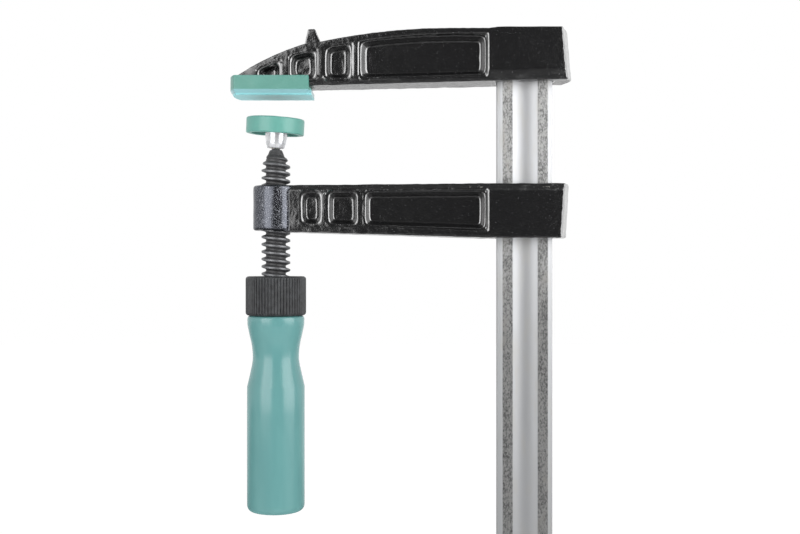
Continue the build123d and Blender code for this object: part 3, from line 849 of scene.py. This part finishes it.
# painted light: the sole and its underside get paler, bluer colours for light thrown up from below
SHOE_SOLE_LIGHT = colour(138, 187, 194)
SHOE_UNDERSIDE_LIGHT = colour(146, 222, 228)
PAD_GREEN = colour(104, 168, 157)
PAD_BELOW = -5.0
SOLE_BAND = 2.8
sole_edge = corners("fixed_jaw_cap")[0].z + SOLE_BAND
# Heights between which the sole's painted light, its underside and its end come in
sole_start = (sole_edge + 0.4, sole_edge - 0.2)
sole_under = (sole_edge - 1.6, sole_edge - 2.6)
sole_end = (sole_edge - 6, sole_edge - 4)


def green_shoe():
    """Soft moulded plastic with slight clouds and scuffs, painted light on the sole and its underside,
    paler on the pad.
    """
    finish = new_finish("green_shoe", IOR=1.5)
    where = place_in_mm(finish)
    clouds = grain(finish, where, 7.0, 2.0)
    texture = grain(finish, where, 0.3, 2.0, 0.6)
    scuffs = fade(finish, grain(finish, times(finish, where, 0.35, 1, 1), 1.3, 3.0, 0.7), 0.64, 0.78)
    height = coordinate(finish, where, "Z")
    sole = fade(finish, height + clouds * 0.3, *sole_start) * fade(finish, height, *sole_end)
    shade = blend(finish, SHOE_GREEN, SHOE_PALE, fade(finish, clouds, 0.35, 0.7) * 0.35)
    shade = blend(finish, shade, SHOE_SCUFF, scuffs * 0.3)
    # painted light on the sole, strongest on its underside
    underside = fade(finish, height, *sole_under) * sole
    painted_sole_light = blend(finish, SHOE_SOLE_LIGHT, SHOE_UNDERSIDE_LIGHT, underside)
    shade = blend(finish, shade, PAD_GREEN, fade(finish, height, PAD_BELOW, PAD_BELOW - 2) * 0.8)
    finish.paint(Base_Color=blend(finish, shade, painted_sole_light, sole * 0.9))
    finish.paint(Roughness=(0.30 + 0.12 * clouds + 0.15 * scuffs) * (1 - 0.4 * sole) + underside * 0.12)
    finish.paint(Normal=relief(finish, texture, 0.012, relief(finish, clouds, 0.18)))
    return finish


# %% The shoe under the fixed jaw
SHOE_WAVES = ((0.05, 6.0),)
SHOE_SKIN = {"voxel": 0.3, "passes": 6, "pocket_passes": 0, "end_growth": 0, "keep": 0.5}

shoe_plastic = green_shoe()
shoe_mesh = softened("fixed_jaw_cap", "jaw_shoe", waves=SHOE_WAVES, **SHOE_SKIN)
add_piece(shoe_mesh, "fixed_jaw_cap", "rail", shoe_plastic)

# %% The pad's own leaning axis
joints = {joint["name"]: joint for joint in frame["record"]["behaviour"]["joints"]}
mounts = {mount["name"]: mount for mount in frame["record"]["mounts"]}
ball = Vector(joints["pad_swivel"]["pos_m"]) / MM
pad_face = Vector(mounts["pressure_face"]["pos_m"]) / MM
pad_top = (pad_face - ball).length
leaning = Matrix.Translation(ball) @ (pad_face - ball).to_track_quat("Z", "Y").to_matrix().to_4x4()
print("the pad's face is", round(pad_top, 2), "mm from the middle of its ball")

# %% The pad
PAD_RADIUS = 15.65
PAD_OFFSET = -1.2
PAD_HEIGHT = 8.6
PAD_FLOOR = 2.8
PAD_LIP_RADIUS = 12.9
PLATE_RADIUS = 13.6
PLATE_THICKNESS = 2.6
PAD_WAVES = ((0.10, 5.0),)
STRAIGHT = 0.01          # a rounding too small to see: it only adds points on a side
pad_under = pad_top - PAD_HEIGHT
plate_top = pad_top - PAD_FLOOR
plate_under = plate_top - PLATE_THICKNESS

pad_outline = rounded(
    (
        (0, plate_top, 0),
        (PLATE_RADIUS, plate_top, 0.2),
        (PLATE_RADIUS, plate_under, 0.1),
        (PAD_LIP_RADIUS, plate_under, 0.3),
        (PAD_LIP_RADIUS, pad_under, 0.6),
        (PAD_RADIUS, pad_under, 0.9),
        (PAD_RADIUS, pad_under + PAD_HEIGHT / 2, STRAIGHT),
        (PAD_RADIUS, pad_top, 1.1),
        (PAD_RADIUS / 2, pad_top, STRAIGHT),
        (0, pad_top, 0),
    )
)
pad_place = leaning @ Matrix.Translation((PAD_OFFSET, 0, 0))
pad_mesh = turned("pad_cap", pad_outline, pad_place, PAD_WAVES)
add_piece(pad_mesh, "pressure_plate_cap", "pad", shoe_plastic)

# %% [markdown]
# ## The zinc plate and its socket
# Under the cap is a pressed steel plate whose neck is a deep cup, rolled inwards at
# its lip so that the ball can't leave it. Bright zinc over it mirrors the room in
# tall bands. The cup is one curve from the plate down to the lip.

# %% The plate's outline
SOCKET_MOUTH = 3.15
SOCKET_DEPTH = 3.5
SOCKET_INSIDE = 4.54
HOLLOW_STEPS = 12
CUP_OUTLINE = ((6.75, 0.0), (6.2, 0.9), (6.1, 2.6), (5.75, 5.3), (5.35, 8.0), (5.0, 9.4))


def bright_plate():
    """The plate with its cup: the outside down to the lip, then the hollow for the ball."""
    outside = [(PLATE_RADIUS, plate_top), (PLATE_RADIUS, plate_under)]
    outside += flowing([(r, plate_under - drop) for r, drop in CUP_OUTLINE])
    cup_radius, cup_length = CUP_OUTLINE[-1]
    mouth = -sqrt(SOCKET_INSIDE**2 - SOCKET_MOUTH**2)
    lip = rounded(
        (
            (cup_radius, plate_under - cup_length, 0),
            (SOCKET_MOUTH + 1.5, -SOCKET_DEPTH, 0.7),
            (SOCKET_MOUTH, -SOCKET_DEPTH, 0.3),
            (SOCKET_MOUTH, mouth, 0),
        )
    )
    start = mouth / SOCKET_INSIDE
    hollow = []
    for step in range(1, HOLLOW_STEPS + 1):
        height = start + (1 - start) * step / HOLLOW_STEPS
        hollow.append((SOCKET_INSIDE * sqrt(max(0, 1 - height**2)), SOCKET_INSIDE * height))
    return [(0, plate_top)] + outside + lip[1:] + hollow


# %% Bright zinc
def bright_zinc():
    """Zinc over pressed steel: bright, slightly blue, with faint turning lines."""
    finish = new_finish("bright_zinc", Metallic=0.55)
    where = place_in_mm(finish)
    clouds = grain(finish, where, 2.2, 3.0, 0.6)
    rings = grain(finish, times(finish, where, 0.08, 0.08, 1), 0.3, 2.0)
    shade = blend(finish, colour(206, 207, 211), colour(240, 240, 242), fade(finish, clouds, 0.35, 0.65))
    finish.paint(Base_Color=shade)
    finish.paint(Roughness=0.2 + 0.1 * clouds)
    finish.paint(Normal=relief(finish, rings, 0.012, relief(finish, clouds, 0.03)))
    return finish


plate_mesh = turned("zinc_plate", bright_plate(), leaning)
add_piece(plate_mesh, "pressure_plate", "pad", bright_zinc())

# %% [markdown]
# ### The bearing shell
# The split shell between the ball and the cup only shows as a pale ring inside the
# lip. Its construction piece has the true shape. Natural acetal is milky, so a
# little light travels under its skin.

# %% Acetal
def milky_acetal():
    """Natural acetal: off-white, waxy and slightly translucent."""
    finish = new_finish("milky_acetal", Subsurface_Weight=0.2, Subsurface_Scale=1.0 * MM, Roughness=0.4)
    where = place_in_mm(finish)
    clouds = grain(finish, where, 1.5, 2.0)
    finish.paint(Base_Color=blend(finish, colour(206, 202, 190), colour(226, 223, 214), clouds))
    finish.paint(Normal=relief(finish, clouds, 0.02))
    return finish


repaint("ball_liner", milky_acetal())

# %% [markdown]
# ## The spindle
# The spindle's thread is rolled, not cut, so its crest and root are rounded. A sweep
# leaves seams where the ridge meets the core. Here the whole screw is one skin of
# rings instead: each ring climbs by one pitch in a turn, so that the rows of faces
# follow the thread, and the radius of a point comes from how far it lies from the
# crest. Points past either end of the thread are brought to the end and merged.

# %% How the thread swells and fades
THREAD_PITCH = 4.0
THREAD_CREST = 7.8
THREAD_ROOT = 5.4
THREAD_CREST_HALF = 0.42
THREAD_BASE_HALF = 1.45
THREAD_CREST_HEIGHT = -37.6
NOSE_TOP = ball.z - 5.0
NOSE_RADIUS = 3.5
NOSE_LENGTH = 4.8
THREAD_START = -31.0
THREAD_FULL = THREAD_CREST_HEIGHT
THREAD_ROUNDING = 0.6
THREAD_HIDDEN = 2.6

collar_low, collar_high = corners("handle_collar")
thread_end = collar_high.z - THREAD_HIDDEN


def cone_radius(z):
    """The turned cone that leads from the nose to the core."""
    return min(THREAD_ROOT, NOSE_RADIUS + (THREAD_ROOT - NOSE_RADIUS) * (NOSE_TOP - z) / NOSE_LENGTH)


def thread_radius(off_crest, z):
    """The rod's radius at a height, a distance along the rod from the nearest crest."""
    rise = (THREAD_BASE_HALF - abs(off_crest)) / (THREAD_BASE_HALF - THREAD_CREST_HALF)
    rise = min(1, max(0, rise))
    rise = rise * (1 - THREAD_ROUNDING) + THREAD_ROUNDING * rise * rise * (3 - 2 * rise)
    formed = min(1, (THREAD_START - z) / (THREAD_START - THREAD_FULL))
    return cone_radius(z) + (THREAD_CREST - THREAD_ROOT) * rise * formed


# %% The screw's skin
ROWS_PER_PITCH = 18
THREAD_SIDES = 80
SEAM = 0.02


def screw_mesh(name):
    """Thread, cone, nose, neck and ball above it, and the winged shank below it."""
    shape = bmesh.new()
    first = int((THREAD_START - THREAD_CREST_HEIGHT) / THREAD_PITCH + 2) * ROWS_PER_PITCH
    last = int((thread_end - THREAD_CREST_HEIGHT) / THREAD_PITCH - 2) * ROWS_PER_PITCH
    grid = {}
    for row in range(last, first + 1):
        for side in range(THREAD_SIDES):
            climb = THREAD_PITCH * (row / ROWS_PER_PITCH - side / THREAD_SIDES)
            z = min(THREAD_START, max(thread_end, THREAD_CREST_HEIGHT + climb))
            place = row % ROWS_PER_PITCH / ROWS_PER_PITCH
            off_crest = THREAD_PITCH * min(place, 1 - place)
            r = thread_radius(off_crest, z) if z > thread_end else THREAD_ROOT
            angle = 2 * pi * side / THREAD_SIDES
            grid[row, side] = shape.verts.new((r * cos(angle), r * sin(angle), z))
    for row in range(last, first):
        for side in range(THREAD_SIDES):
            after, step = (side + 1, 0) if side + 1 < THREAD_SIDES else (0, -ROWS_PER_PITCH)
            if (row + step, after) in grid:
                low = (grid[row, side], grid[row + step, after])
                shape.faces.new(low + (grid[row + 1 + step, after], grid[row + 1, side]))
    bmesh.ops.remove_doubles(shape, verts=shape.verts, dist=SEAM)
    loose = [vertex for vertex in shape.verts if not vertex.link_faces]
    bmesh.ops.delete(shape, geom=loose, context="VERTS")
    end_rings(shape)
    wings(shape)
    bmesh.ops.recalc_face_normals(shape, faces=shape.faces)
    bmesh.ops.scale(shape, vec=(MM, MM, MM), verts=shape.verts)
    return finished(shape, name)


# %% The screw's two ends
BALL_RADIUS = 3.6
NECK_RADIUS = 2.2
BALL_STEPS = 12
WING_SPAN = 13.2
WING_THICKNESS = 1.8
WING_LENGTH = 24.0
WING_RISE = 6.0

spindle_low = corners("spindle")[0]


def stacked(shape, outline, reach):
    """Adds rings above or below an open edge ring of the screw, and closes the last one."""
    def around(vertex):
        return Vector((1, 0)).angle_signed(vertex.co.xy, 0)

    edge = [vertex for vertex in shape.verts if abs(vertex.co.z - reach) < SEAM / 2 and vertex.is_boundary]
    edge.sort(key=lambda vertex: around(vertex) % (2 * pi))
    angles = [around(vertex) for vertex in edge]
    for r, z in outline:
        if r < ON_AXIS:
            band(shape, edge, [shape.verts.new((0, 0, z))])
            return
        ring = [shape.verts.new((r * cos(a), -r * sin(a), z)) for a in angles]
        band(shape, edge, ring)
        edge = ring


def end_rings(shape):
    """The nose, neck and ball on top, and the plain shank with its chamfer below."""
    neck_top = -sqrt(BALL_RADIUS**2 - NECK_RADIUS**2)
    top = [(cone_radius(NOSE_TOP - 0.3), NOSE_TOP - 0.3)]
    top += [(NOSE_RADIUS, NOSE_TOP), (NOSE_RADIUS - 0.15, NOSE_TOP + 0.3)]
    top += [(NOSE_RADIUS - 0.5, NOSE_TOP + 0.5), (NECK_RADIUS + 0.3, NOSE_TOP + 0.5)]
    top += [(NECK_RADIUS, NOSE_TOP + 0.8)]
    for step in range(BALL_STEPS + 1):
        height = neck_top + (BALL_RADIUS - neck_top) * step / BALL_STEPS
        top.append((sqrt(max(0, BALL_RADIUS**2 - height**2)), ball.z + height))
    stacked(shape, top, THREAD_START)
    foot = [(THREAD_ROOT, (thread_end + spindle_low.z) / 2), (THREAD_ROOT, spindle_low.z + 1)]
    foot += [(THREAD_ROOT - 1, spindle_low.z), (0, spindle_low.z)]
    stacked(shape, foot, thread_end)


def wings(shape):
    """The crossed wings on the shank that stop it from turning in the handle."""
    middle = Vector((0, 0, spindle_low.z + WING_RISE + WING_LENGTH / 2))
    for size in ((WING_SPAN, WING_THICKNESS, WING_LENGTH), (WING_THICKNESS, WING_SPAN, WING_LENGTH)):
        matrix = Matrix.Translation(middle) @ Matrix.Diagonal(Vector(size).to_4d())
        bmesh.ops.create_cube(shape, size=1, matrix=matrix)


# %% Burnished thread
THREAD_BRIGHT = colour(118, 119, 121)
THREAD_DULL = colour(106, 107, 109)
THREAD_OIL = colour(76, 76, 77)
# Distances from the axis, between which the crests shine and the valleys are oily
THREAD_RUBBED = (6.9, 7.7)
THREAD_VALLEY = (6.5, 5.5)


def burnished_thread():
    """Dark rolled steel, bright where the nut rubs the crests and oily in the valleys."""
    finish = new_finish("burnished_thread", Metallic=0.6)
    where = place_in_mm(finish)
    radius = length_of(finish, times(finish, where, 1, 1, 0))
    clouds = grain(finish, where, 1.4, 3.0, 0.6)
    scratches = grain(finish, times(finish, where, 0.2, 0.2, 1), 0.22, 2.0)
    height = radius + (clouds - 0.5) * 0.8
    on_thread = fade(finish, coordinate(finish, where, "Z"), NOSE_TOP + 1, NOSE_TOP - 1)
    oily = fade(finish, height, *THREAD_VALLEY)
    shade = blend(finish, THREAD_DULL, THREAD_BRIGHT, fade(finish, height, *THREAD_RUBBED))
    finish.paint(Base_Color=blend(finish, shade, THREAD_OIL, oily * on_thread))
    finish.paint(Roughness=0.34 + 0.2 * clouds + oily * 0.1)
    finish.paint(Normal=relief(finish, scratches, 0.02, relief(finish, clouds, 0.09)))
    return finish


add_piece(screw_mesh("rolled_spindle"), "spindle", "spindle", burnished_thread())

# %% [markdown]
# ## The handle
# The handle is a long plastic grip with a slim waist under its shoulder, where the
# finger and thumb go. It is moulded round, so it is turned here too. Its skin is
# smooth with a soft gloss, and it is not dead straight: a moulding sinks a little
# as it cools, which bends the reflections.

# %% The handle's outline
handle_low, handle_high = corners("spindle_handle")
grip_top = collar_low.z
SPIGOT_RADIUS = 11.3
GRIP_RADIUS = 15.6
GRIP_END_ROUNDING = 4.2
GATE_RADIUS = 3.0
GATE_DEPTH = 0.7

# Radius of the grip at each drop below its top, from the crease up to the shoulder
GRIP_LINE = (
    (15.6, 38.5), (13.85, 31.0), (12.65, 25.0), (12.55, 20.5), (13.2, 15.0), (14.2, 10.6), (15.3, 5.2)
)


def grip_outline():
    """From the middle of the foot, with its moulding mark, up to the spigot's top."""
    foot = rounded(
        (
            (0, handle_low.z + GATE_DEPTH, 0),
            (GATE_RADIUS, handle_low.z + GATE_DEPTH, 0.3),
            (GATE_RADIUS + 0.4, handle_low.z, 0.2),
            (GRIP_RADIUS, handle_low.z, GRIP_END_ROUNDING),
            (GRIP_RADIUS, (handle_low.z + grip_top) / 2, 0),
        ),
        10,
    )
    waist = flowing([(r, grip_top - drop) for r, drop in GRIP_LINE])
    shoulder_r, shoulder_drop = GRIP_LINE[-1]
    top = rounded(
        (
            (shoulder_r, grip_top - shoulder_drop, 0),
            (shoulder_r + 0.25, grip_top - 0.1, 3.2),
            (SPIGOT_RADIUS, grip_top - 0.1, 0),
            (SPIGOT_RADIUS, handle_high.z, 0.3),
            (0, handle_high.z, 0),
        )
    )
    return foot + waist + top[1:]


# %% Smooth green plastic
HANDLE_GREEN = colour(102, 156, 155)
HANDLE_DEEP = colour(94, 148, 148)
HANDLE_PALE = colour(111, 164, 162)


def handle_green():
    """Smooth moulded plastic with a soft gloss and faint flow clouds."""
    finish = new_finish("handle_green", IOR=1.55)
    where = place_in_mm(finish)
    flow = grain(finish, times(finish, where, 1, 1, 0.3), 8.0, 2.0)
    handling = grain(finish, where, 2.4, 3.0, 0.65)
    texture = grain(finish, where, 0.35, 2.0)
    shade = blend(finish, HANDLE_DEEP, HANDLE_PALE, fade(finish, flow, 0.3, 0.72) * 0.5)
    finish.paint(Base_Color=blend(finish, HANDLE_GREEN, shade, 0.6))
    finish.paint(Roughness=0.18 + 0.10 * handling)
    finish.paint(Normal=relief(finish, texture, 0.003, relief(finish, flow, 0.15)))
    return finish


GRIP_WAVES = ((0.06, 9.0),)
handle_mesh = turned("handle_grip", grip_outline(), waves=GRIP_WAVES)
add_piece(handle_mesh, "spindle_handle", "spindle", handle_green())

# %% [markdown]
# ## The ribbed collar
# The black collar has sixty fine upright ribs, so that a wet hand can start the
# spindle. Each rib is a rounded ridge that fades where the ring rolls over at its
# top and bottom. One grid makes them all: the radius swells and shrinks with the
# angle, and the ring's rounded outline limits it.

# %% The collar's grid
RIB_COUNT = 60
RIB_STEPS = 8
RIB_DEPTH = 0.62
RIB_ROUNDNESS = 0.7
COLLAR_ROLL = 1.7
COLLAR_LEVELS = 40
COLLAR_MOUTH = 8.15
COLLAR_MOUTH_DEPTH = 4.2


def collar_mesh(name):
    """A ribbed ring: outside, rolled edges, flat ends, and the mouth for the spindle."""
    radius = (collar_high.x - collar_low.x) / 2
    shape = bmesh.new()
    levels = []
    for step in range(COLLAR_LEVELS + 1):
        z = collar_low.z + (collar_high.z - collar_low.z) * (1 - cos(pi * step / COLLAR_LEVELS)) / 2
        into = max(0, COLLAR_ROLL - min(z - collar_low.z, collar_high.z - z))
        levels.append((z, radius - COLLAR_ROLL + sqrt(COLLAR_ROLL**2 - into**2)))
    sides = RIB_COUNT * RIB_STEPS
    swells = [abs(cos(pi * side / RIB_STEPS)) ** RIB_ROUNDNESS for side in range(sides)]
    ribbed = [radius - RIB_DEPTH * (1 - swell) for swell in swells]
    outlines = [([min(limit, r) for r in ribbed], z) for z, limit in levels]
    seat = SPIGOT_RADIUS + 0.1
    mouth_end = collar_high.z - COLLAR_MOUTH_DEPTH
    inside = [(SPIGOT_RADIUS + 0.2, collar_high.z), (COLLAR_MOUTH + 0.4, collar_high.z)]
    inside += [(COLLAR_MOUTH, collar_high.z - 0.4), (COLLAR_MOUTH, mouth_end)]
    inside += [(seat, mouth_end), (seat, collar_low.z)]
    outlines += [([r] * sides, z) for r, z in inside]
    around = [2 * pi * side / sides for side in range(sides)]
    rings = []
    for radii, z in outlines:
        rings.append([shape.verts.new((r * cos(a), r * sin(a), z)) for r, a in zip(radii, around)])
    for lower, upper in zip(rings, rings[1:] + rings[:1]):
        band(shape, lower, upper)
    bmesh.ops.recalc_face_normals(shape, faces=shape.faces)
    bmesh.ops.scale(shape, vec=(MM, MM, MM), verts=shape.verts)
    return finished(shape, name)


# %% Black ribbed plastic
def collar_black():
    """Black plastic with clouds of grey dust and a dull shine."""
    finish = new_finish("collar_black", IOR=1.5)
    where = place_in_mm(finish)
    clouds = grain(finish, where, 2.8, 3.0, 0.6)
    texture = grain(finish, where, 0.3, 2.0)
    shade = blend(finish, colour(34, 35, 37), colour(58, 60, 62), fade(finish, clouds, 0.35, 0.7))
    finish.paint(Base_Color=shade)
    finish.paint(Roughness=0.38 + 0.2 * clouds)
    finish.paint(Normal=relief(finish, texture, 0.02))
    return finish


add_piece(collar_mesh("ribbed_collar"), "handle_collar", "spindle", collar_black())
